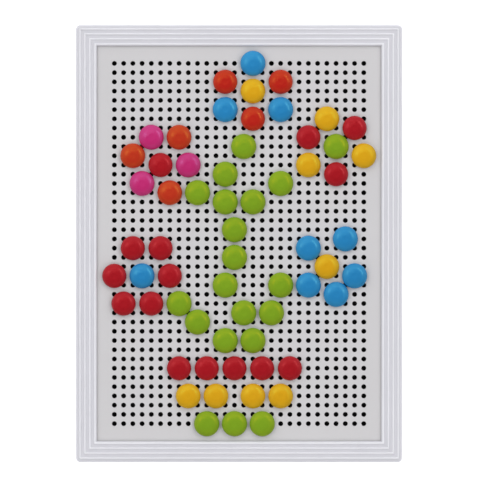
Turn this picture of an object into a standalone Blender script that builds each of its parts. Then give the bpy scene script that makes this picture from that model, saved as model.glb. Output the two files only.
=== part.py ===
"""A mosaic peg board lying on its back: a white reeded frame round a perforated panel, a back cover that
snaps in, and a picture of flowers in a pot made of mushroom-headed nails that push into the holes.

X runs across the board, Y up the picture, Z out of its face. The origin is the middle of the underside.
"""

import math

import bmesh
import bpy

# The grid of holes. Lengths are in metres.
PITCH = 0.006
COLUMNS = 28
ROWS = 40
MARGIN = 0.0113               # from the outer hole centres to the frame's inner edge
HOLE_DIAMETER = 0.0032
PANEL_THICKNESS = 0.0018

# The frame, a moulded shell whose rail is a channel open downwards.
RAIL_WIDTH = 0.0138
FRAME_HEIGHT = 0.017
CORNER_RADIUS = 0.003
INNER_CORNER_RADIUS = 0.0005
SHOULDER_DROP = 0.0028        # how far the outer side rolls down from the first reed
REED_COUNT = 4
REED_WIDTH = 0.0012
REED_RISE = 0.0006
FIRST_REED = 0.0029           # from the outer edge to the first reed's crest
LAST_REED = 0.0013            # from the last reed's crest to the inner edge
OUTER_WALL = 0.002
INNER_WALL = 0.0016
TOP_WALL = 0.002
LIP_WIDTH = 0.0024            # how far the lip reaches over the panel's edge from the inner wall
LIP_THICKNESS = 0.001
INNER_WALL_CLEARANCE = 0.0018  # from the back cover's plate up to the inner wall's lower edge

# The back cover, and the hooks that snap it onto catches in the frame.
COVER_RECESS = 0.001          # from the frame's lower edge up to the cover
COVER_THICKNESS = 0.0022
COVER_RIM_THICKNESS = 0.0014
PILLAR_DIAMETER = 0.003
PILLAR_SIDES = 8
PILLAR_CELLS = ((4, 6), (11, 5), (18, 5), (25, 6), (1, 17), (9, 19), (16, 20), (23, 17), (5, 30), (11, 28),
                (18, 30), (24, 31))
HOOK_WIDTH = 0.008
HOOK_THICKNESS = 0.0015
HOOK_BARB_HEIGHT = 0.0017
CATCH_REACH = 0.001           # how far a catch stands out from the frame's inner wall
CATCH_HEIGHT = 0.002
CATCH_RAISE = 0.002           # from the inner wall's lower edge up to a catch
HOOKS_PER_LONG_SIDE = 3
HOOKS_PER_SHORT_SIDE = 2

# The nails.
TIP_CLEARANCE = 0.00225       # from the back cover up to a seated nail's tip
HEAD_HEIGHT = 0.0044
HEAD_RIM_HEIGHT = 0.0009
DOME_FLAT = 0.38              # the flat crown's share of the head's diameter
DOME_SHOULDER = math.radians(38)
HEAD_CLEARANCES = {           # between the closest two heads of a colour
    "green": 0.0004,
    "blue": 0.0005,
    "yellow": 0.0007,
    "red": 0.0011,
    "pink": 0.0006,
    "orange": 0.0007,
}

# Clearances between neighbouring pieces.
GAP = 0.0003
HEAD_GAP = 0.00025            # under a seated nail's head
SHANK_CLEARANCE = 0.00015     # round a nail's shank, on each side

ROUND_SIDES = 12
CORNER_STEPS = 3
REED_STEPS = 4
CUT_EXTRA = 0.001             # how far a cutter runs past the faces it cuts
SHARP_ANGLE = math.radians(50)

COLOURS = {
    "white": (0.66, 0.65, 0.68),
    "panel_white": (0.62, 0.60, 0.62),
    "black": (0.012, 0.011, 0.012),
    "green": (0.21, 0.36, 0.020),
    "blue": (0.026, 0.23, 0.50),
    "yellow": (0.70, 0.36, 0.015),
    "red": (0.37, 0.012, 0.020),
    "pink": (0.52, 0.030, 0.16),
    "orange": (0.50, 0.035, 0.017),
}

# Each nail's hole, as its column from the left and its row from the top.
TOP_FLOWER = {"blue": [(15, 0), (12, 5), (18, 5)], "red": [(12, 2), (18, 2), (15, 6)], "yellow": [(15, 3)]}
LEFT_FLOWER = {"pink": [(4, 8), (8, 11), (3, 13)], "orange": [(7, 8), (2, 10), (6, 14)], "red": [(5, 11)]}
RIGHT_FLOWER = {
    "yellow": [(23, 6), (27, 10), (21, 11)],
    "red": [(26, 7), (21, 8), (24, 12)],
    "green": [(24, 9)],
}
STEMS = {
    "green": [
        (14, 9), (12, 12), (9, 14), (12, 15), (15, 15), (18, 13), (13, 18), (13, 21), (12, 24), (18, 24),
        (14, 27), (17, 27), (12, 30), (15, 30),
    ]
}
RED_FLOWER = {"red": [(2, 20), (5, 20), (0, 23), (6, 23), (1, 26), (4, 26)], "blue": [(3, 23)]}
BLUE_FLOWER = {"blue": [(21, 20), (25, 19), (26, 23), (21, 24), (24, 25)], "yellow": [(23, 22)]}
POT = {
    "red": [(7, 33), (10, 33), (13, 33), (16, 33), (19, 33)],
    "yellow": [(8, 36), (11, 36), (15, 36), (18, 36)],
}
NAILS = (TOP_FLOWER, LEFT_FLOWER, RIGHT_FLOWER, STEMS, RED_FLOWER, BLUE_FLOWER, POT)

# Holes that stand ready for further nails of the picture, which no node here fills.
FREE_HOLES = [(9, 28), (7, 26), (10, 39), (13, 39), (16, 39)]

# Sizes that follow from those above.
OPENING_HALF_X = (COLUMNS - 1) * PITCH / 2 + MARGIN
OPENING_HALF_Y = (ROWS - 1) * PITCH / 2 + MARGIN
HALF_X = OPENING_HALF_X + RAIL_WIDTH
HALF_Y = OPENING_HALF_Y + RAIL_WIDTH
VALLEY_HEIGHT = FRAME_HEIGHT - REED_RISE
LIP_UNDERSIDE = VALLEY_HEIGHT - LIP_THICKNESS
PANEL_TOP = LIP_UNDERSIDE - GAP
PANEL_UNDERSIDE = PANEL_TOP - PANEL_THICKNESS
INNER_WALL_FACE = RAIL_WIDTH - LIP_WIDTH      # inset of the face beside the panel's edge
COVER_TOP = COVER_RECESS + COVER_THICKNESS
SUPPORT_TOP = PANEL_UNDERSIDE - GAP
CEILING = VALLEY_HEIGHT - TOP_WALL
INNER_WALL_BACK = INNER_WALL_FACE - INNER_WALL
INNER_WALL_FOOT = COVER_TOP + INNER_WALL_CLEARANCE
CATCH_FOOT = INNER_WALL_FOOT + CATCH_RAISE
HOOK_FAR = INNER_WALL_BACK - CATCH_REACH - GAP     # inset of a hook arm's inner face
CATCH_TOP = CATCH_FOOT + CATCH_HEIGHT
REED_PITCH = (RAIL_WIDTH - FIRST_REED - LAST_REED) / (REED_COUNT - 1)
CLOSEST_NAILS = 2 * math.sqrt(2) * PITCH           # two columns and two rows apart
HEAD_FOOT = PANEL_TOP + HEAD_GAP


def material(name, roughness):
    """A plain moulded plastic in one of the named colours, made once."""
    existing = bpy.data.materials.get(name)
    if existing:
        return existing
    made = bpy.data.materials.new(name)
    made.use_nodes = True
    surface = made.node_tree.nodes["Principled BSDF"]
    surface.inputs["Base Color"].default_value = (*COLOURS[name], 1)
    surface.inputs["Roughness"].default_value = roughness
    surface.inputs["Metallic"].default_value = 0
    return made


def place(name, bm, finish=None):
    """Turns a closed bmesh into a named object, with its faces pointing out."""
    bmesh.ops.recalc_face_normals(bm, faces=bm.faces)
    mesh = bpy.data.meshes.new(name)
    bm.to_mesh(mesh)
    bm.free()
    piece = bpy.data.objects.new(name, mesh)
    bpy.context.scene.collection.objects.link(piece)
    if finish:
        mesh.materials.append(finish)
    return piece


def rounded_loop(bm, half_x, half_y, radius, z):
    """One loop of vertices round a rectangle with rounded corners, CORNER_STEPS faces to each corner."""
    corners = ((1, 1), (-1, 1), (-1, -1), (1, -1))
    loop = []
    for quarter, (side, level) in enumerate(corners):
        for step in range(CORNER_STEPS + 1):
            angle = math.pi / 2 * (quarter + step / CORNER_STEPS)
            x = side * (half_x - radius) + radius * math.cos(angle)
            y = level * (half_y - radius) + radius * math.sin(angle)
            loop.append(bm.verts.new((x, y, z)))
    return loop


def bridge(bm, lower, upper):
    """Quads between two loops that have the same number of vertices."""
    for here in range(len(lower)):
        after = (here + 1) % len(lower)
        bm.faces.new((lower[here], lower[after], upper[after], upper[here]))


def inset_loop(bm, inset, z):
    """A loop round the board at one distance in from its outer edge."""
    radius = max(CORNER_RADIUS - inset, INNER_CORNER_RADIUS)
    return rounded_loop(bm, HALF_X - inset, HALF_Y - inset, radius, z)


def swept_ring(bm, section):
    """A closed section of (inset, z) points, swept round the board."""
    loops = [inset_loop(bm, inset, z) for inset, z in section]
    for lower, upper in zip(loops, loops[1:] + loops[:1]):
        bridge(bm, lower, upper)


def slab(bm, inset, bottom, top):
    """A flat plate that stops at one distance in from the board's outer edge."""
    lower = inset_loop(bm, inset, bottom)
    upper = inset_loop(bm, inset, top)
    bridge(bm, lower, upper)
    bm.faces.new(lower)
    bm.faces.new(upper)


def turned(bm, centre, profile, sides=ROUND_SIDES):
    """A round solid from its (radius, z) profile, with flat ends, standing at centre."""
    loops = []
    for radius, z in profile:
        loop = []
        for side in range(sides):
            angle = math.tau * side / sides
            x = centre[0] + radius * math.cos(angle)
            y = centre[1] + radius * math.sin(angle)
            loop.append(bm.verts.new((x, y, z)))
        loops.append(loop)
    for lower, upper in zip(loops, loops[1:]):
        bridge(bm, lower, upper)
    bm.faces.new(loops[0])
    bm.faces.new(loops[-1])


def hole_centre(column, row):
    """Where the hole at this column and row lies on the board."""
    x = (column - (COLUMNS - 1) / 2) * PITCH
    y = ((ROWS - 1) / 2 - row) * PITCH
    return x, y


def edge_block(bm, normal, along, near, far, bottom, top):
    """A block as wide as a hook, between two insets from the board's edge on the side that normal names."""
    half = HALF_X if normal[0] else HALF_Y
    middle = half - (near + far) / 2
    across = (far - near, HOOK_WIDTH) if normal[0] else (HOOK_WIDTH, far - near)
    place_at = (normal[0] * middle, along) if normal[0] else (along, normal[1] * middle)
    corners = bmesh.ops.create_cube(bm, size=1)["verts"]
    bmesh.ops.scale(bm, vec=(*across, top - bottom), verts=corners)
    bmesh.ops.translate(bm, vec=(*place_at, (bottom + top) / 2), verts=corners)


def hook_places():
    """The side and the place along it of each hook, spread evenly."""
    for sign in (-1, 1):
        for number in range(HOOKS_PER_LONG_SIDE):
            yield (sign, 0), HALF_Y * (2 * (number + 0.5) / HOOKS_PER_LONG_SIDE - 1)
        for number in range(HOOKS_PER_SHORT_SIDE):
            yield (0, sign), HALF_X * (2 * (number + 0.5) / HOOKS_PER_SHORT_SIDE - 1)


def combine(piece, name, bm, operation):
    """Adds a hidden tool object and a Boolean that unites it with the piece or cuts it away."""
    tool = place(name, bm)
    tool.hide_render = True
    tool.display_type = "WIRE"
    modifier = piece.modifiers.new(name, "BOOLEAN")
    modifier.operation = operation
    modifier.object = tool
    modifier.solver = "EXACT"


def reeds():
    """The moulding's top from the outside in: rounded reeds with flat valleys between them."""
    points = []
    for reed in range(REED_COUNT):
        crest = FIRST_REED + reed * REED_PITCH
        for step in range(REED_STEPS + 1):
            turn = math.pi * step / REED_STEPS
            across = REED_WIDTH / 2 * math.cos(turn)
            points.append((crest - across, VALLEY_HEIGHT + REED_RISE * math.sin(turn)))
    return points


def build_frame():
    """The frame shell: a reeded top, an outer wall down to the table, and an inner wall round the panel."""
    shoulder = FIRST_REED - REED_WIDTH / 2
    section = [(0, 0)]
    for step in range(CORNER_STEPS):
        turn = math.pi / 2 * step / CORNER_STEPS
        across = shoulder * (1 - math.cos(turn))
        section.append((across, VALLEY_HEIGHT - SHOULDER_DROP * (1 - math.sin(turn))))
    section += reeds()
    section += [
        (RAIL_WIDTH, VALLEY_HEIGHT),
        (RAIL_WIDTH, LIP_UNDERSIDE),
        (INNER_WALL_FACE, LIP_UNDERSIDE),
        (INNER_WALL_FACE, INNER_WALL_FOOT),
        (INNER_WALL_BACK, INNER_WALL_FOOT),
        (INNER_WALL_BACK, CEILING),
        (OUTER_WALL, CEILING),
        (OUTER_WALL, 0),
    ]
    bm = bmesh.new()
    swept_ring(bm, section)
    frame = place("frame_shell", bm, material("white", 0.38))

    catches = bmesh.new()
    near = INNER_WALL_BACK - CATCH_REACH
    far = INNER_WALL_BACK + INNER_WALL / 2
    for normal, along in hook_places():
        edge_block(catches, normal, along, near, far, CATCH_FOOT, CATCH_TOP)
    combine(frame, "frame_catches", catches, "UNION")


def build_panel():
    """The perforated panel, which lies under the frame's lip, with the holes that hold nails here."""
    bm = bmesh.new()
    slab(bm, INNER_WALL_FACE + GAP, PANEL_UNDERSIDE, PANEL_TOP)
    panel = place("peg_panel", bm, material("panel_white", 0.45))
    holes = bmesh.new()
    radius = HOLE_DIAMETER / 2
    depth = [(radius, PANEL_UNDERSIDE - CUT_EXTRA), (radius, PANEL_TOP + CUT_EXTRA)]
    filled = [hole for motif in NAILS for group in motif.values() for hole in group]
    for hole in filled + FREE_HOLES:
        turned(holes, hole_centre(*hole), depth)
    combine(panel, "panel_holes", holes, "DIFFERENCE")


def build_cover():
    """The black back cover: a plate with a rim under the panel's edge, and pillars between its holes."""
    rim_inset = INNER_WALL_FACE + GAP
    inner_inset = rim_inset + COVER_RIM_THICKNESS
    plate_inset = OUTER_WALL + GAP
    bm = bmesh.new()
    loops = [
        inset_loop(bm, plate_inset, COVER_RECESS),
        inset_loop(bm, plate_inset, COVER_TOP),
        inset_loop(bm, rim_inset, COVER_TOP),
        inset_loop(bm, rim_inset, SUPPORT_TOP),
        inset_loop(bm, inner_inset, SUPPORT_TOP),
        inset_loop(bm, inner_inset, COVER_TOP),
    ]
    for lower, upper in zip(loops, loops[1:]):
        bridge(bm, lower, upper)
    bm.faces.new(loops[0])
    bm.faces.new(loops[-1])
    cover = place("back_cover", bm, material("black", 0.5))

    pillars = bmesh.new()
    plate_middle = COVER_RECESS + COVER_THICKNESS / 2
    pillar = [(PILLAR_DIAMETER / 2, plate_middle), (PILLAR_DIAMETER / 2, SUPPORT_TOP)]
    for cell in PILLAR_CELLS:
        turned(pillars, hole_centre(cell[0] + 0.5, cell[1] + 0.5), pillar, PILLAR_SIDES)
    combine(cover, "cover_pillars", pillars, "UNION")

    arms = bmesh.new()
    barbs = bmesh.new()
    windows = bmesh.new()
    barb_foot = CATCH_TOP + GAP
    barb_top = barb_foot + HOOK_BARB_HEIGHT
    window_foot = COVER_RECESS - CUT_EXTRA
    window_top = COVER_TOP + CUT_EXTRA
    near = HOOK_FAR - HOOK_THICKNESS
    for normal, along in hook_places():
        edge_block(arms, normal, along, near, HOOK_FAR, plate_middle, barb_top)
        edge_block(barbs, normal, along, near, HOOK_FAR + CATCH_REACH, barb_foot, barb_top)
        edge_block(windows, normal, along, HOOK_FAR, INNER_WALL_BACK, window_foot, window_top)
    combine(cover, "cover_hook_arms", arms, "UNION")
    combine(cover, "cover_hook_barbs", barbs, "UNION")
    combine(cover, "cover_hook_windows", windows, "DIFFERENCE")


def build_nail(name, colour, hole):
    """One nail standing in its hole: a shank under a thin-rimmed dome."""
    shank = HOLE_DIAMETER / 2 - SHANK_CLEARANCE
    radius = (CLOSEST_NAILS - HEAD_CLEARANCES[colour]) / 2
    rim_top = HEAD_FOOT + HEAD_RIM_HEIGHT
    dome_rise = HEAD_HEIGHT - HEAD_RIM_HEIGHT
    profile = [
        (shank, COVER_TOP + TIP_CLEARANCE),
        (shank, HEAD_FOOT),
        (radius, HEAD_FOOT),
        (radius, rim_top),
        (radius * math.cos(DOME_SHOULDER), rim_top + dome_rise * math.sin(DOME_SHOULDER)),
        (radius * DOME_FLAT, rim_top + dome_rise),
    ]
    bm = bmesh.new()
    turned(bm, (0, 0), profile)
    nail = place(name, bm, material(colour, 0.3))
    nail.data.shade_smooth()
    nail.data.set_sharp_from_angle(angle=SHARP_ANGLE)
    nail.location = (*hole_centre(*hole), 0)


for old in list(bpy.data.objects):
    bpy.data.objects.remove(old, do_unlink=True)

build_frame()
build_panel()
build_cover()

numbers = dict.fromkeys(HEAD_CLEARANCES, 0)
for motif in NAILS:
    for colour, holes in motif.items():
        for hole in holes:
            numbers[colour] += 1
            build_nail(f"nail_{colour}_{numbers[colour]:02d}", colour, hole)
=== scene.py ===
"""A mosaic peg board lying on its back: a white reeded frame round a perforated panel, a black back that
snaps in, and a picture of flowers in a pot made of mushroom-headed nails.

X runs across the board, Y up the picture, Z out of its face. Lengths are in metres.
"""

import math

import bmesh
import bpy
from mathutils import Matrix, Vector


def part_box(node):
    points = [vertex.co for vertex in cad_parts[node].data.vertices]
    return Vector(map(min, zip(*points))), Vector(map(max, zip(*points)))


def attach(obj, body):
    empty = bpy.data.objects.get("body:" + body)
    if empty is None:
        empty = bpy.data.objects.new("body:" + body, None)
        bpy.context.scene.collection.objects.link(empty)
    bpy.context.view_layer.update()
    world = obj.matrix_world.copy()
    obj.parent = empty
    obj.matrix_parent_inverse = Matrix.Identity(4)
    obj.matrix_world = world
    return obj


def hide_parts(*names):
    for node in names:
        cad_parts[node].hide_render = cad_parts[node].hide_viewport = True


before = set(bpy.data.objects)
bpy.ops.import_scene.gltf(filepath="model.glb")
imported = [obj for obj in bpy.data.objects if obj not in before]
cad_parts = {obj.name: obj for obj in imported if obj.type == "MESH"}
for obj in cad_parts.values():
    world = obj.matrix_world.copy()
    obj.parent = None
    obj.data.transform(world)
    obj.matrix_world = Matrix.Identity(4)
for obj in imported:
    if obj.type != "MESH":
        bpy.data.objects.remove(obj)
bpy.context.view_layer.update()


# Camera. The board is looked at straight from above and from far away, so that its sides don't show and
# the rows of holes stay square to the picture.
camera_height = 3.0
field_width = 0.31332          # how wide the view is at the panel
view_centre = (0.0006, 0.0023)
sensor_width = 36

camera_data = bpy.data.cameras.new("camera")
camera_data.sensor_width = sensor_width
camera_data.lens = sensor_width * camera_height / field_width
camera_data.clip_end = 20
camera = bpy.data.objects.new("camera", camera_data)
camera.location = (*view_centre, camera_height)
bpy.context.scene.collection.objects.link(camera)
bpy.context.scene.camera = camera
bpy.context.scene.view_settings.view_transform = "Standard"


# Floor and light. A white table top, lit a little from below as a product table is. Four even banks light
# the board, and a warm lamp and a low fill light the nails. Two small lamps make the gloss on their domes.
class Wire:
    """An output of a shader node. Sums and products of wires and numbers add their Math nodes."""

    def __init__(self, tree, socket=None):
        self.tree = tree
        self.socket = socket

    def node(self, kind, settings=None, sockets=None, output=0):
        """Adds a node: its settings first, then the numbers or wires that its sockets take."""
        made = self.tree.nodes.new(kind)
        for name, setting in (settings or {}).items():
            if name == "stops":
                ramp = made.color_ramp.elements
                for stop, (place, shade) in zip(ramp, setting):
                    stop.position = place
                    stop.color = (shade, shade, shade, 1)
            else:
                setattr(made, name, setting)
        for name, value in (sockets or {}).items():
            if isinstance(value, Wire):
                self.tree.links.new(value.socket, made.inputs[name])
            else:
                made.inputs[name].default_value = value
        return Wire(self.tree, made.outputs[output])

    def maths(self, operation, first, second):
        return self.node("ShaderNodeMath", {"operation": operation}, {0: first, 1: second})

    def __add__(self, other):
        return self.maths("ADD", self, other)

    __radd__ = __add__

    def __sub__(self, other):
        return self.maths("SUBTRACT", self, other)

    def __rsub__(self, other):
        return self.maths("SUBTRACT", other, self)

    def __mul__(self, other):
        return self.maths("MULTIPLY", self, other)

    __rmul__ = __mul__


def new_finish(name, roughness=0.5, specular=0.5):
    """A new material, with its principled surface and a wire to start its nodes from."""
    finish = bpy.data.materials.new(name)
    finish.use_nodes = True
    surface = finish.node_tree.nodes["Principled BSDF"]
    surface.inputs["Roughness"].default_value = roughness
    surface.inputs["Specular IOR Level"].default_value = specular
    return finish, surface, Wire(finish.node_tree)


def feed(surface, name, wire):
    """Joins a wire to one of the surface's sockets."""
    wire.tree.links.new(wire.socket, surface.inputs[name])


floor_half = 4.0
floor_corners = ((-1, -1), (1, -1), (1, 1), (-1, 1))
floor_mesh = bpy.data.meshes.new("floor")
floor_mesh.from_pydata([(floor_half * x, floor_half * y, 0) for x, y in floor_corners], [], [(0, 1, 2, 3)])
floor = bpy.data.objects.new("floor", floor_mesh)
bpy.context.scene.collection.objects.link(floor)
floor_finish, floor_surface, nodes = new_finish("white_table_top", roughness=0.7, specular=0.2)
place = nodes.node("ShaderNodeTexCoord", output=3)
cloud = nodes.node("ShaderNodeTexNoise", None, {"Vector": place, "Scale": 1.5, "Detail": 2.0})
floor_tone = nodes.node("ShaderNodeMix", {"data_type": "RGBA"}, {
    0: cloud, 6: (0.90, 0.90, 0.91, 1), 7: (0.93, 0.93, 0.935, 1),
}, output=2)
feed(floor_surface, "Base Color", floor_tone)
floor_surface.inputs["Emission Color"].default_value = (1, 1, 1, 1)
floor_surface.inputs["Emission Strength"].default_value = 0.42
floor_mesh.materials.append(floor_finish)

surround = bpy.data.worlds.new("pale_surround")
surround.use_nodes = True
backdrop = surround.node_tree.nodes["Background"]
backdrop.inputs["Color"].default_value = (0.95, 0.975, 1.0, 1)
nodes = Wire(surround.node_tree)
direction = nodes.node("ShaderNodeTexCoord", output=0)
height = nodes.node("ShaderNodeSeparateXYZ", None, {0: direction}, output=2)
beyond = nodes.node("ShaderNodeSeparateXYZ", None, {0: direction}, output=1)
dark_overhead = nodes.node("ShaderNodeValToRGB", {"stops": ((0.66, 0.62), (0.90, 0.08))}, {0: height})
pale_beyond = nodes.node("ShaderNodeValToRGB", {"stops": ((0.30, 0.35), (0.62, 1.0))}, {
    0: beyond * 0.5 + 0.5,
})
feed(backdrop, "Strength", dark_overhead * pale_beyond)
bpy.context.scene.world = surround

board_group = bpy.data.collections.new("lit_board")
nail_group = bpy.data.collections.new("lit_nails")
board_group.objects.link(floor)


def soft_light(name, position, width, height, power, tint=(1, 1, 1), mirrored=True, lights_only=None):
    """A softbox aimed at the middle of the board. One that isn't mirrored makes no gloss."""
    data = bpy.data.lights.new(name, "AREA")
    data.shape = "RECTANGLE"
    data.size = width
    data.size_y = height
    data.energy = power
    data.color = tint
    lamp = bpy.data.objects.new(name, data)
    lamp.location = position
    lamp.rotation_mode = "QUATERNION"
    lamp.rotation_quaternion = (-Vector(position)).to_track_quat("-Z", "Y")
    lamp.visible_camera = False
    lamp.visible_glossy = mirrored
    if lights_only:
        lamp.light_linking.receiver_collection = lights_only
    bpy.context.scene.collection.objects.link(lamp)


soft_light("nail_key", (-0.30, 0.70, 1.16), 1.0, 0.8, 12.6, tint=(1.0, 0.96, 0.88), mirrored=False,
           lights_only=nail_group)
soft_light("nail_fill", (0.10, -0.95, 0.80), 1.0, 0.6, 4.6, tint=(1.0, 0.92, 0.80), mirrored=False,
           lights_only=nail_group)
bank_reach = 0.95
bank_height = 0.70
for azimuth, power in ((45, 4.0), (135, 4.3), (225, 4.75), (315, 4.75)):
    bearing = math.radians(azimuth)
    position = (bank_reach * math.cos(bearing), bank_reach * math.sin(bearing), bank_height)
    soft_light(f"bank_{azimuth}", position, 1.1, 0.7, power, mirrored=False, lights_only=board_group)
soft_light("left_patch", (-0.58, 0.28, 0.86), 0.36, 0.36, 0.50)
soft_light("right_strip", (0.60, 0.40, 0.76), 0.70, 0.10, 0.90)


# Frame. One moulding in white polystyrene: its rail is a channel open downwards, with four reeds run
# along its top. The corners are mitred in the mould, and the inner wall carries ten catches for the back.
frame_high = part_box("frame_shell")[1]
half_x = frame_high[0]
half_y = frame_high[1]
outer_corner = 0.003
tightest_corner = 0.0004
rail_width = 0.0138
valley = 0.0164                # height of the flats between the reeds
crest = 0.017
reed_insets = (0.0029, 0.0061, 0.0093)
reed_falls = (                 # from one crest inwards to the next: how far across, and how far down
    (0.0, 0.0), (0.0002, 0.00004), (0.00036, 0.00016), (0.0005, 0.00036), (0.00064, 0.00052),
    (0.00085, 0.0006), (0.0013, 0.00061), (0.0018, 0.00058), (0.0022, 0.00052), (0.00245, 0.00044),
    (0.00262, 0.0003), (0.00278, 0.00014), (0.00298, 0.00004),
)
last_reed = ((0.0122, 0.00002), (0.0126, 0.00003), (0.0129, 0.0001), (0.0132, 0.00028), (0.01345, 0.00052),
             (0.01365, 0.0008), (0.0138, 0.00115))
shoulder_width = 0.0019
shoulder_drop = 0.0028
shoulder_steps = 8
first_rise = ((0.0022, 0.00006), (0.0024, 0.0003), (0.0026, 0.00052))    # inset, and height over the flats
edge_round = 0.00025
lip_underside = 0.0154
inner_wall_face = 0.0114
inner_wall_back = 0.0098
inner_wall_foot = 0.005
ceiling = 0.0144
outer_wall = 0.002
catch_reach = 0.001
catch_foot = 0.007
catch_height = 0.002
catch_root = 0.0008            # how deep a catch sits in the wall
hook_width = 0.008
corner_steps = 8
sharp_angle = math.radians(40)


def ring_loop(inset, height):
    """Points round the board at one inset from its outer edge, with rounded corners."""
    radius = max(outer_corner - inset, tightest_corner)
    points = []
    for quarter, (side, level) in enumerate(((1, 1), (-1, 1), (-1, -1), (1, -1))):
        for step in range(corner_steps + 1):
            angle = math.pi / 2 * (quarter + step / corner_steps)
            x = side * (half_x - inset - radius) + radius * math.cos(angle)
            y = level * (half_y - inset - radius) + radius * math.sin(angle)
            points.append((x, y, height))
    return points


def round_corner(before, corner, after, radius, steps=3):
    """Replaces a corner of an (inset, height) outline by an arc that joins its two sides smoothly."""
    corner = Vector(corner)
    towards = (Vector(before) - corner).normalized()
    away = (Vector(after) - corner).normalized()
    first = corner + towards * radius
    last = corner + away * radius
    points = []
    for step in range(steps + 1):
        share = step / steps
        point = first * (1 - share) ** 2 + corner * (2 * share * (1 - share)) + last * share ** 2
        points.append(tuple(point))
    return points


def join_loops(bm, lower, upper):
    """Quads between two loops that have the same number of vertices."""
    for here in range(len(lower)):
        after = (here + 1) % len(lower)
        bm.faces.new((lower[here], lower[after], upper[after], upper[here]))


def sweep(bm, outline, closed):
    """Carries an (inset, height) outline round the board. An open one is capped at both ends."""
    loops = []
    for inset, height in outline:
        loops.append([bm.verts.new(point) for point in ring_loop(inset, height)])
    for lower, upper in zip(loops, loops[1:]):
        join_loops(bm, lower, upper)
    if closed:
        join_loops(bm, loops[-1], loops[0])
    else:
        bm.faces.new(loops[0])
        bm.faces.new(loops[-1])


def make_piece(name, bm, finish):
    """Turns a closed bmesh into a smooth-shaded piece, with its sharp edges kept."""
    bmesh.ops.recalc_face_normals(bm, faces=bm.faces)
    mesh = bpy.data.meshes.new(name)
    bm.to_mesh(mesh)
    bm.free()
    mesh.shade_smooth()
    mesh.set_sharp_from_angle(angle=sharp_angle)
    if finish:
        mesh.materials.append(finish)
    piece = bpy.data.objects.new(name, mesh)
    bpy.context.scene.collection.objects.link(piece)
    return piece


def even_normals(piece):
    """Lets the large faces set the shading, so that narrow rounded edges don't bend it."""
    modifier = piece.modifiers.new("even_normals", "WEIGHTED_NORMAL")
    modifier.keep_sharp = True
    modifier.weight = 100


def rail_block(bm, normal, along, near, far, foot, top, width):
    """A block beside the rail, between two insets from the edge on the side that normal names."""
    half = half_x if normal[0] else half_y
    middle = half - (near + far) / 2
    size = (far - near, width, top - foot) if normal[0] else (width, far - near, top - foot)
    centre = (normal[0] * middle, along) if normal[0] else (along, normal[1] * middle)
    corners = bmesh.ops.create_cube(bm, size=1)["verts"]
    bmesh.ops.scale(bm, vec=size, verts=corners)
    bmesh.ops.translate(bm, vec=(*centre, (foot + top) / 2), verts=corners)
    return corners


def hook_places():
    """The side of the board and the place along it of each hook and its catch."""
    for sign in (-1, 1):
        for along in (-half_y * 2 / 3, 0, half_y * 2 / 3):
            yield (sign, 0), along
        for along in (-half_x / 2, half_x / 2):
            yield (0, sign), along


def combine(piece, bm, operation):
    """Unites a second mesh with the piece, or cuts it away, and clears the tool up again."""
    tool = make_piece("tool", bm, None)
    modifier = piece.modifiers.new("combine", "BOOLEAN")
    modifier.operation = operation
    modifier.object = tool
    modifier.solver = "EXACT"
    evaluated = piece.evaluated_get(bpy.context.evaluated_depsgraph_get())
    result = bpy.data.meshes.new_from_object(evaluated)
    piece.modifiers.clear()
    piece.data = result
    tool_mesh = tool.data
    bpy.data.objects.remove(tool)
    bpy.data.meshes.remove(tool_mesh)
    result.shade_smooth()
    result.set_sharp_from_angle(angle=sharp_angle)


def moulded(name, tone, spread, roughness, grain, grain_depth, specular=0.5, painted_highlight=None):
    """A moulded plastic: slow drifts of its tone and gloss, a fine grain and a few hairline scratches.
    Where a highlight tone and its two heights are given, the parts above them are painted paler: a painted
    highlight along the crests, with painted shade left in the hollows."""
    finish, surface, nodes = new_finish(name, roughness, specular)
    place = nodes.node("ShaderNodeTexCoord", output=3)
    drift = nodes.node("ShaderNodeTexNoise", {"noise_dimensions": "3D"}, {
        "Vector": place, "Scale": 22.0, "Detail": 3.0, "Roughness": 0.55,
    })
    peel = nodes.node("ShaderNodeTexNoise", None, {"Vector": place, "Scale": grain, "Detail": 2.0})
    stretched = nodes.node("ShaderNodeMapping", None, {
        "Vector": place, "Rotation": (0, 0, 0.6), "Scale": (900.0, 14.0, 40.0),
    })
    streak = nodes.node("ShaderNodeTexNoise", None, {"Vector": stretched, "Scale": 1.0, "Detail": 1.0})
    scratch = nodes.node("ShaderNodeValToRGB", {"stops": ((0.66, 0.0), (0.74, 1.0))}, {0: streak})
    darker = (*[part * (1 - spread) for part in tone], 1)
    lighter = (*[min(part * (1 + spread), 1) for part in tone], 1)
    colour = nodes.node("ShaderNodeMix", {"data_type": "RGBA"}, {0: drift, 6: darker, 7: lighter}, output=2)
    # Painted highlight: above the given heights the tone is painted paler, standing in for light on the
    # crests and leaving painted shade in the hollows.
    if painted_highlight:
        height = nodes.node("ShaderNodeSeparateXYZ", None, {0: place}, output=2)
        highlight_mask = nodes.node("ShaderNodeMapRange", {"interpolation_type": "SMOOTHSTEP"}, {
            0: height + drift * 0.00006, 1: painted_highlight[1], 2: painted_highlight[2],
        })
        colour = nodes.node("ShaderNodeMix", {"data_type": "RGBA"}, {
            0: highlight_mask, 6: colour, 7: painted_highlight[0],
        }, output=2)
    feed(surface, "Base Color", colour)
    feed(surface, "Roughness", (drift - 0.5) * 0.16 + peel * 0.04 + scratch * 0.10 + (roughness - 0.02))
    bump = nodes.node("ShaderNodeBump", None, {
        "Strength": 0.35, "Distance": grain_depth, "Height": peel - scratch * 0.4,
    })
    feed(surface, "Normal", bump)
    return finish


# The frame's reed crests get a painted highlight: a paler tone above 16.7 mm.
white_plastic = moulded("white_polystyrene", (0.665, 0.655, 0.70), 0.025, 0.36, 900.0, 0.00003,
                        painted_highlight=((0.86, 0.855, 0.895, 1), 0.0167, 0.01699))

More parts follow.
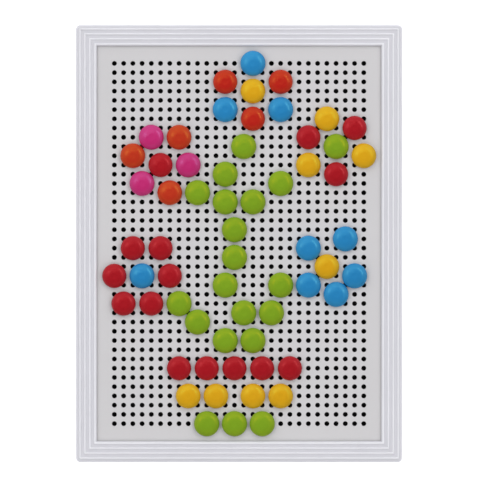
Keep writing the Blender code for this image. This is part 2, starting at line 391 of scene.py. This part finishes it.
outline = []
outline += round_corner((outer_wall, 0), (0, 0), (0, valley), edge_round)
for step in range(shoulder_steps + 1):
    roll = math.pi / 2 * step / shoulder_steps
    across = shoulder_width * (1 - math.cos(roll))
    outline.append((across, valley - shoulder_drop * (1 - math.sin(roll))))
outline += [(inset, valley + up) for inset, up in first_rise]
for inset in reed_insets:
    outline += [(inset + across, crest - fall) for across, fall in reed_falls]
outline += [(inset, crest - fall) for inset, fall in last_reed]
outline += [
    (rail_width, lip_underside),
    (inner_wall_face, lip_underside),
    (inner_wall_face, inner_wall_foot),
    (inner_wall_back, inner_wall_foot),
    (inner_wall_back, ceiling),
    (outer_wall, ceiling),
]
outline += round_corner((outer_wall, ceiling), (outer_wall, 0), (0, 0), edge_round)
bm = bmesh.new()
sweep(bm, outline, closed=True)
rail = make_piece("white_reeded_frame", bm, white_plastic)

catches = bmesh.new()
for normal, along in hook_places():
    near = inner_wall_back - catch_reach
    far = inner_wall_back + catch_root
    rail_block(catches, normal, along, near, far, catch_foot, catch_foot + catch_height, hook_width)
combine(rail, catches, "UNION")
even_normals(rail)
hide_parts("frame_shell")
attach(rail, "board")
board_group.objects.link(rail)


# Panel. A white sheet with 28 by 40 round holes moulded through it, each with a softened upper edge.
# Its margin lies loose under the frame's lip.
pitch = 0.006
columns = 28
rows = 40
hole_radius = 0.0016
hole_softening = 0.00012
panel_top = 0.0151
panel_underside = 0.0133
panel_half_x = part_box("peg_panel")[1][0]
panel_half_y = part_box("peg_panel")[1][1]
panel_edge_round = 0.00015
hole_sides = 16

white_sheet = moulded("white_panel_plastic", (0.635, 0.62, 0.63), 0.02, 0.42, 700.0, 0.00003)


def cell_lines(count, edge):
    """Where the mesh's lines lie along one side: four to a hole's cell, and one at the sheet's edge."""
    corner_line = math.tan(math.pi / 8)
    offsets = (-1, -corner_line, 0, corner_line)
    lines = [-edge]
    for cell in range(count):
        middle = (cell - (count - 1) / 2) * pitch
        lines += [middle + offset * pitch / 2 for offset in offsets]
    return lines + [count * pitch / 2, edge]


class Sheet:
    """The vertices and faces of the perforated sheet, with the points that cells share made once."""

    def __init__(self):
        self.across = cell_lines(columns, panel_half_x - panel_edge_round)
        self.along = cell_lines(rows, panel_half_y - panel_edge_round)
        self.points = []
        self.faces = []
        self.shared = {}

    def lattice(self, column_line, row_line, height):
        key = (column_line, row_line, height)
        if key not in self.shared:
            self.shared[key] = len(self.points)
            self.points.append((self.across[column_line], self.along[row_line], height))
        return self.shared[key]

    def ring(self, centre, radius, height):
        start = len(self.points)
        for side in range(hole_sides):
            angle = math.tau * side / hole_sides
            x = centre[0] + radius * math.cos(angle)
            y = centre[1] + radius * math.sin(angle)
            self.points.append((x, y, height))
        return list(range(start, start + hole_sides))

    def join(self, lower, upper):
        for here in range(len(lower)):
            after = (here + 1) % len(lower)
            self.faces.append((lower[here], lower[after], upper[after], upper[here]))

    def cell_edge(self, column, row, height):
        """The sixteen points round a cell, anticlockwise from the middle of its right side."""
        steps = [(4, 2), (4, 3), (4, 4), (3, 4), (2, 4), (1, 4), (0, 4), (0, 3)]
        steps += [(0, 2), (0, 1), (0, 0), (1, 0), (2, 0), (3, 0), (4, 0), (4, 1)]
        return [self.lattice(1 + 4 * column + a, 1 + 4 * row + b, height) for a, b in steps]

    def rim(self, height):
        """The lattice points round the sheet's edge, anticlockwise."""
        last_a = len(self.across) - 1
        last_b = len(self.along) - 1
        path = [(a, 0) for a in range(last_a)] + [(last_a, b) for b in range(last_b)]
        path += [(a, last_b) for a in range(last_a, 0, -1)] + [(0, b) for b in range(last_b, 0, -1)]
        return path, [self.lattice(a, b, height) for a, b in path]

    def margin(self, height):
        """The plain strip between the outermost cells and the sheet's edge."""
        last_a = len(self.across) - 1
        last_b = len(self.along) - 1
        for a in range(last_a):
            for b in range(last_b):
                if a in (0, last_a - 1) or b in (0, last_b - 1):
                    quad = ((a, b), (a + 1, b), (a + 1, b + 1), (a, b + 1))
                    self.faces.append([self.lattice(*corner, height) for corner in quad])

    def side(self, path, height):
        """The points of the rim's path at one height, moved out to the sheet's side."""
        start = len(self.points)
        for a, b in path:
            x = self.across[a]
            y = self.along[b]
            if a in (0, len(self.across) - 1):
                x = math.copysign(panel_half_x, x)
            if b in (0, len(self.along) - 1):
                y = math.copysign(panel_half_y, y)
            self.points.append((x, y, height))
        return list(range(start, len(self.points)))


sheet = Sheet()
for column in range(columns):
    for row in range(rows):
        centre = ((column - (columns - 1) / 2) * pitch, (row - (rows - 1) / 2) * pitch)
        loops = [
            sheet.cell_edge(column, row, panel_top),
            sheet.ring(centre, hole_radius + hole_softening, panel_top),
            sheet.ring(centre, hole_radius, panel_top - hole_softening),
            sheet.ring(centre, hole_radius, panel_underside),
            sheet.cell_edge(column, row, panel_underside),
        ]
        for lower, upper in zip(loops, loops[1:]):
            sheet.join(lower, upper)
sheet.margin(panel_top)
sheet.margin(panel_underside)
path, upper_rim = sheet.rim(panel_top)
path, lower_rim = sheet.rim(panel_underside)
side_loops = [
    upper_rim,
    sheet.side(path, panel_top - panel_edge_round),
    sheet.side(path, panel_underside + panel_edge_round),
    lower_rim,
]
for lower, upper in zip(side_loops, side_loops[1:]):
    sheet.join(lower, upper)
panel_mesh = bpy.data.meshes.new("perforated_panel")
panel_mesh.from_pydata(sheet.points, [], sheet.faces)
bm = bmesh.new()
bm.from_mesh(panel_mesh)
bpy.data.meshes.remove(panel_mesh)
panel = make_piece("perforated_panel", bm, white_sheet)
even_normals(panel)
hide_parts("peg_panel")
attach(panel, "board")
board_group.objects.link(panel)


# Back cover. A black polystyrene tray with a spark-eroded matt face. Its rim and pillars hold the panel up
# against the frame's lip, and ten hooks snap over the frame's catches, each beside the slot that forms it.
cover_foot = 0.001
cover_top = 0.0032
cover_inset = 0.0023
cover_support = 0.013
cover_rim = (0.0117, 0.0131)
root_round = 0.0004            # where the rim stands on the plate
pillar_radius = 0.0015
# A pillar's outline: how far out from its side, and up from the plate or from its flat end.
pillar_foot = ((0.0006, -0.0008), (0.0006, 0.0001), (0.0002, 0.0004), (0, 0.0009))
pillar_tip = ((-0.0001, -0.0002), (-0.0003, 0))
# Column and row of the hole to the upper left of each pillar.
pillar_cells = ((4, 6), (11, 5), (18, 5), (25, 6), (1, 17), (9, 19), (16, 20), (23, 17), (5, 30), (11, 28),
                (18, 30), (24, 31))
hook_near = 0.007
hook_far = 0.0085
hook_top = 0.011
hook_root = 0.001              # how deep a hook starts in the plate
window_reach = 0.001           # how far the cut for a slot runs past the plate
barb_foot = 0.0093
barb_root = 0.0005             # how deep a barb starts in its hook
barb_lip = 0.0004              # what is left of the barb's height at its point
gate_radius = 0.003
gate_bevel = 0.0003
gate_depths = (0.0002, 0.0004)
turned_sides = 32


def hole_place(column, row):
    """Where the hole at this column from the left and row from the top lies."""
    return (column - (columns - 1) / 2) * pitch, ((rows - 1) / 2 - row) * pitch


def turn(bm, centre, profile, sides=turned_sides):
    """A round solid from its (radius, height) profile. A point on the axis closes an end, or else a flat."""
    loops = []
    for radius, height in profile:
        if radius:
            loop = []
            for side in range(sides):
                angle = math.tau * side / sides
                x = centre[0] + radius * math.cos(angle)
                y = centre[1] + radius * math.sin(angle)
                loop.append(bm.verts.new((x, y, height)))
        else:
            loop = [bm.verts.new((*centre, height))]
        loops.append(loop)
    for lower, upper in zip(loops, loops[1:]):
        if len(lower) == 1 or len(upper) == 1:
            pole = lower if len(lower) == 1 else upper
            around = upper if len(lower) == 1 else lower
            for here in range(sides):
                bm.faces.new((pole[0], around[here], around[(here + 1) % sides]))
        else:
            join_loops(bm, lower, upper)
    for loop in (loops[0], loops[-1]):
        if len(loop) > 1:
            bm.faces.new(loop)


black_plastic = moulded("black_polystyrene", (0.022, 0.0205, 0.021), 0.10, 0.52, 1800.0, 0.00006,
                        specular=0.35)

rim_out, rim_in = cover_rim
plate_edge = (cover_inset, cover_top)
rim_root = (rim_out, cover_top)
rim_outer_top = (rim_out, cover_support)
rim_inner_top = (rim_in, cover_support)
rim_inner_root = (rim_in, cover_top)
plate_middle = (0.02, cover_top)    # only gives the way inwards
cover_outline = [(cover_inset + edge_round, cover_foot), (cover_inset, cover_foot + edge_round)]
cover_outline += round_corner((cover_inset, cover_foot), plate_edge, rim_root, edge_round)
cover_outline += round_corner(plate_edge, rim_root, rim_outer_top, root_round)
cover_outline += round_corner(rim_root, rim_outer_top, rim_inner_top, edge_round)
cover_outline += round_corner(rim_outer_top, rim_inner_top, rim_inner_root, edge_round)
cover_outline += round_corner(rim_inner_top, rim_inner_root, plate_middle, root_round)
bm = bmesh.new()
sweep(bm, cover_outline, closed=False)
cover = make_piece("black_back_cover", bm, black_plastic)

pillars = bmesh.new()
pillar_profile = [(pillar_radius + out, cover_top + up) for out, up in pillar_foot]
pillar_profile += [(pillar_radius + out, cover_support + up) for out, up in pillar_tip]
for column, row in pillar_cells:
    turn(pillars, hole_place(column + 0.5, row + 0.5), pillar_profile)
combine(cover, pillars, "UNION")

hooks = bmesh.new()
windows = bmesh.new()
for normal, along in hook_places():
    rail_block(hooks, normal, along, hook_near, hook_far, cover_top - hook_root, hook_top, hook_width)
    rail_block(windows, normal, along, hook_far, inner_wall_back, 0, cover_top + window_reach, hook_width)
combine(cover, hooks, "UNION")
barbs = bmesh.new()
barb_back = hook_far - barb_root
barb_point = hook_far + catch_reach
for normal, along in hook_places():
    corners = rail_block(barbs, normal, along, barb_back, barb_point, barb_foot, hook_top, hook_width)
    half = half_x if normal[0] else half_y
    axis = 0 if normal[0] else 1
    for corner in corners:
        at_point = half - abs(corner.co[axis]) > hook_far
        at_top = corner.co.z > (barb_foot + hook_top) / 2
        if at_point and at_top:
            corner.co.z = barb_foot + barb_lip
combine(cover, barbs, "UNION")
combine(cover, windows, "DIFFERENCE")
gate = bmesh.new()             # the shallow round mark where the plastic was let into the mould
turn(gate, (0, 0), [
    (gate_radius, 0),
    (gate_radius, cover_foot + gate_depths[0]),
    (gate_radius - gate_bevel, cover_foot + gate_depths[1]),
])
combine(cover, gate, "DIFFERENCE")
even_normals(cover)
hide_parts("back_cover")
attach(cover, "board")
board_group.objects.link(cover)


# Nails. Glossy polystyrene mushrooms, moulded in six colours: a thin-rimmed dome, hollow below round a
# boss, with a slight sink over the shank. Each is pushed by hand into its hole and pulls straight out.
head_foot = 0.01535
nail_tip = 0.00545
shank_radius = 0.00145
rim_height = 0.0006
head_height = 0.0044
wall = 0.0012
small_round = 0.0002
boss_radius = 0.0024
tip_rounding = ((0.0007, 0), (0.0012, 0.0003), (shank_radius, 0.0009))    # radius and height over the tip
dome_fullness = 2.6
dome_shoulder = 0.55
hollow_shares = (0.36, 0.48, 0.60, 0.72, 0.84, 0.96)    # of the hollow's radius
hollow_skirt = 0.0008          # how far up the hollow's side stays upright
rim_ease = (0.00004, 0.0001)   # the rim's lower outer corner: how far in, and how far up
sink_radius = 0.0021
sink_depth = 0.00007
sink_shape = ((0.93, 0.45), (0.80, 1), (0.40, 1.05), (0, 1))    # shares of its radius and of its depth
dome_steps = 15
nail_sides = 48
nail_tones = {                 # the red ones come in two shades
    "green": (0.205, 0.375, 0.020),
    "blue": (0.023, 0.236, 0.56),
    "yellow": (0.72, 0.385, 0.013),
    "crimson": (0.385, 0.0105, 0.0185),
    "scarlet": (0.48, 0.017, 0.013),
    "pink": (0.54, 0.026, 0.175),
    "orange": (0.50, 0.034, 0.016),
}
nail_sheens = {                # the tint of the gloss
    "green": (1.0, 0.55, 0.02),
    "blue": (0.30, 1.0, 0.95),
    "yellow": (0.45, 1.0, 0.14),
    "crimson": (1.0, 0.18, 0.19),
    "scarlet": (1.0, 0.50, 0.10),
    "pink": (0.60, 0.50, 1.0),
    "orange": (1.0, 0.58, 0.10),
}
scarlet_nails = ("nail_red_01", "nail_red_02", "nail_red_03")
loose_nails = ((9, 28), (7, 26), (10, 39), (13, 39), (16, 39))   # green ones with no joint of their own


def nail_finish(name, tone, sheen):
    """A glossy nail plastic, a little different from nail to nail."""
    finish, surface, nodes = new_finish(name, 0.25, specular=0.85)
    surface.inputs["IOR"].default_value = 1.6
    surface.inputs["Specular Tint"].default_value = (*sheen, 1)
    place = nodes.node("ShaderNodeTexCoord", output=3)
    batch = nodes.node("ShaderNodeObjectInfo", output=5)
    swirl = nodes.node("ShaderNodeTexNoise", {"noise_dimensions": "4D"}, {
        "Vector": place, "W": batch * 40.0, "Scale": 160.0, "Detail": 2.5, "Distortion": 0.6,
    })
    flow = nodes.node("ShaderNodeTexNoise", {"noise_dimensions": "4D"}, {
        "Vector": place, "W": batch * 90.0, "Scale": 1200.0, "Detail": 2.0,
    })
    darker = (*[part * 0.93 for part in tone], 1)
    lighter = (*[min(part * 1.06, 1) for part in tone], 1)
    mixed = nodes.node("ShaderNodeMix", {"data_type": "RGBA"}, {
        0: swirl * 0.6 + batch * 0.4, 6: darker, 7: lighter,
    }, output=2)
    feed(surface, "Base Color", mixed)
    feed(surface, "Roughness", swirl * 0.10 + flow * 0.06 + 0.15)
    bump = nodes.node("ShaderNodeBump", None, {"Strength": 0.25, "Distance": 0.00002, "Height": flow})
    feed(surface, "Normal", bump)
    return finish


def dome_height(share, rise):
    """How high the dome stands at a share of its radius."""
    return rise * (1 - share ** dome_fullness) ** dome_shoulder


def nail_profile(radius):
    """A nail's outline from its tip round the hollow underside to the top of the dome."""
    rise = head_height - rim_height
    inner = radius - wall
    profile = [(0, nail_tip)]
    profile += [(across, nail_tip + up) for across, up in tip_rounding]
    profile += [
        (shank_radius, head_foot - small_round),
        (shank_radius + small_round, head_foot),
        (boss_radius - small_round, head_foot),
        (boss_radius, head_foot + small_round),
    ]
    hollow_foot = head_foot + rim_height - wall
    profile += [(inner * share, hollow_foot + dome_height(share, rise)) for share in hollow_shares]
    profile += [
        (inner, head_foot + hollow_skirt),
        (inner, head_foot + small_round),
        (inner + small_round, head_foot),
        (radius - small_round, head_foot),
        (radius - rim_ease[0], head_foot + rim_ease[1]),
    ]
    for step in range(dome_steps):
        share = math.cos(math.pi / 2 * step / dome_steps)
        if share * radius < sink_radius:
            break
        profile.append((radius * share, head_foot + rim_height + dome_height(share, rise)))
    crown = head_foot + head_height
    profile += [(sink_radius * across, crown - sink_depth * down) for across, down in sink_shape]
    return profile


def make_nail(name, radius, finish, x, y):
    """One nail, standing in the hole at x, y."""
    bm = bmesh.new()
    turn(bm, (0, 0), nail_profile(radius), nail_sides)
    nail = make_piece(name, bm, finish)
    nail.location = (x, y, 0)
    nail_group.objects.link(nail)
    return nail


nail_finishes = {}
for name, tone in nail_tones.items():
    nail_finishes[name] = nail_finish(f"{name}_nail_plastic", tone, nail_sheens[name])

green_count = 0
for node in sorted(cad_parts):
    if not node.startswith("nail_"):
        continue
    colour = node.split("_")[1]
    low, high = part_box(node)
    x = (low[0] + high[0]) / 2
    y = (low[1] + high[1]) / 2
    radius = (high[0] - low[0]) / 2
    shade = colour
    if colour == "red":
        shade = "scarlet" if node in scarlet_nails else "crimson"
    nail = make_nail(node.replace("nail_", "mushroom_nail_"), radius, nail_finishes[shade], x, y)
    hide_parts(node)
    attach(nail, node)
    if colour == "green":
        green_radius = radius
        green_count += 1

for column, row in loose_nails:
    green_count += 1
    x, y = hole_place(column, row)
    nail = make_nail(f"mushroom_nail_green_{green_count:02d}", green_radius, nail_finishes["green"], x, y)
    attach(nail, "board")
